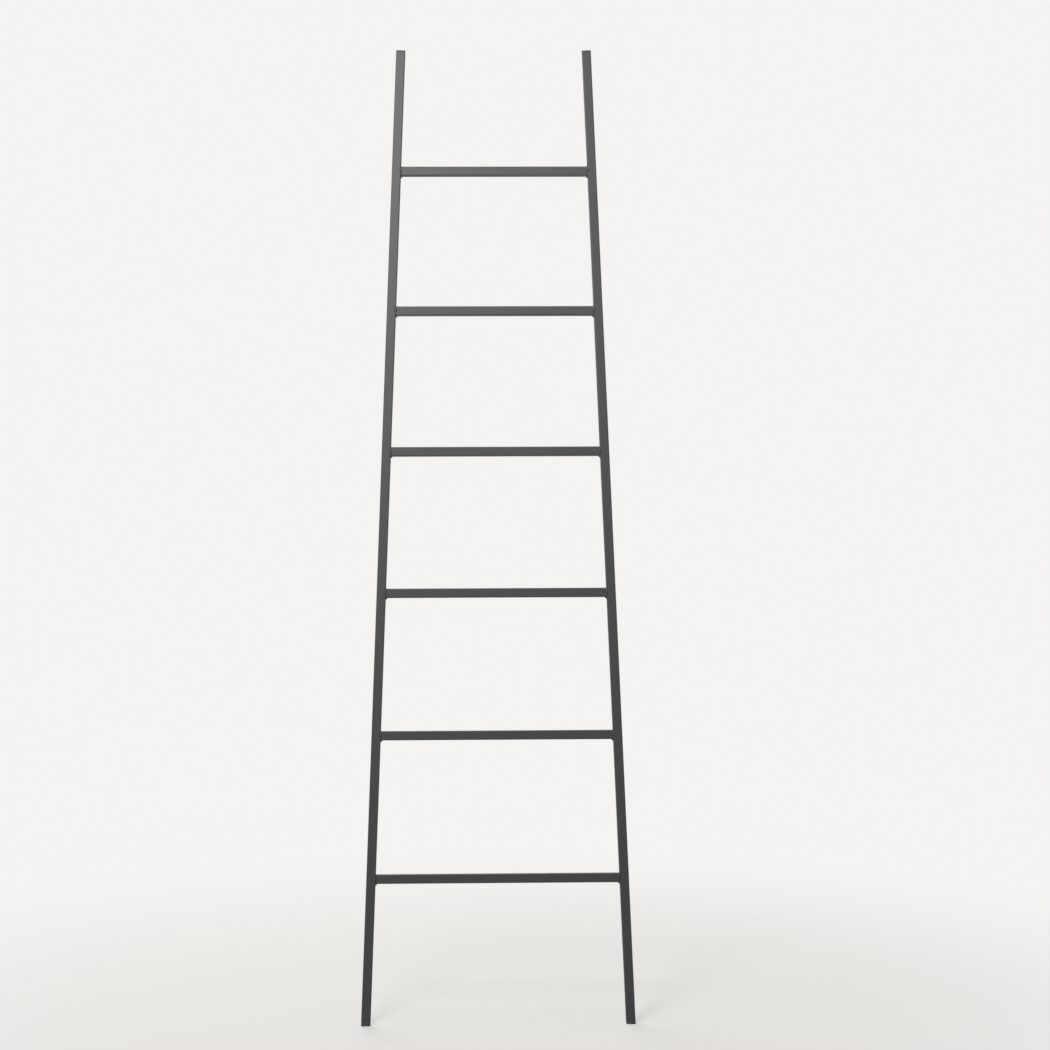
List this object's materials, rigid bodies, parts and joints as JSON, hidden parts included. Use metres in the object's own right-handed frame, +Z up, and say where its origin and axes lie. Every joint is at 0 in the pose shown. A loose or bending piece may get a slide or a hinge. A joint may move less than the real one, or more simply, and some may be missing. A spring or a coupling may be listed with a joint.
{
  "type": "blanket ladder",
  "caption": "Leaning blanket ladder in dark powder-coated square steel tube, with splayed stiles, welded rungs and plugged tube ends.",
  "frame": {"origin": "on the floor, in the middle of the ladder's width, halfway between the front edge of the feet and the wall", "axes": "+Z up, +Y level towards the wall that the ladder leans on, +X to the right seen from the room"},
  "size_m": [0.529, 0.2493, 1.8871],
  "materials": {
    "steel": "satin charcoal powder coat on steel tube",
    "weld": "the same powder coat over rippled weld beads",
    "cap_plastic": "moulded black polyethylene, fine matt texture",
    "foot_plastic": "moulded black polyethylene, matt, with a scuffed sole"
  },
  "bodies": {
    "root": {"left_stile": "steel", "cap_plug_left": "cap_plastic", "foot_plug_left": "foot_plastic", "right_stile": "steel", "cap_plug_right": "cap_plastic", "foot_plug_right": "foot_plastic", "rung_1": "steel", "rung_2": "steel", "rung_3": "steel", "rung_4": "steel", "rung_5": "steel", "rung_6": "steel", "weld_left_1": "weld", "weld_left_2": "weld", "weld_left_3": "weld", "weld_left_4": "weld", "weld_left_5": "weld", "weld_left_6": "weld", "weld_right_1": "weld", "weld_right_2": "weld", "weld_right_3": "weld", "weld_right_4": "weld", "weld_right_5": "weld", "weld_right_6": "weld"}
  },
  "joints": []
}
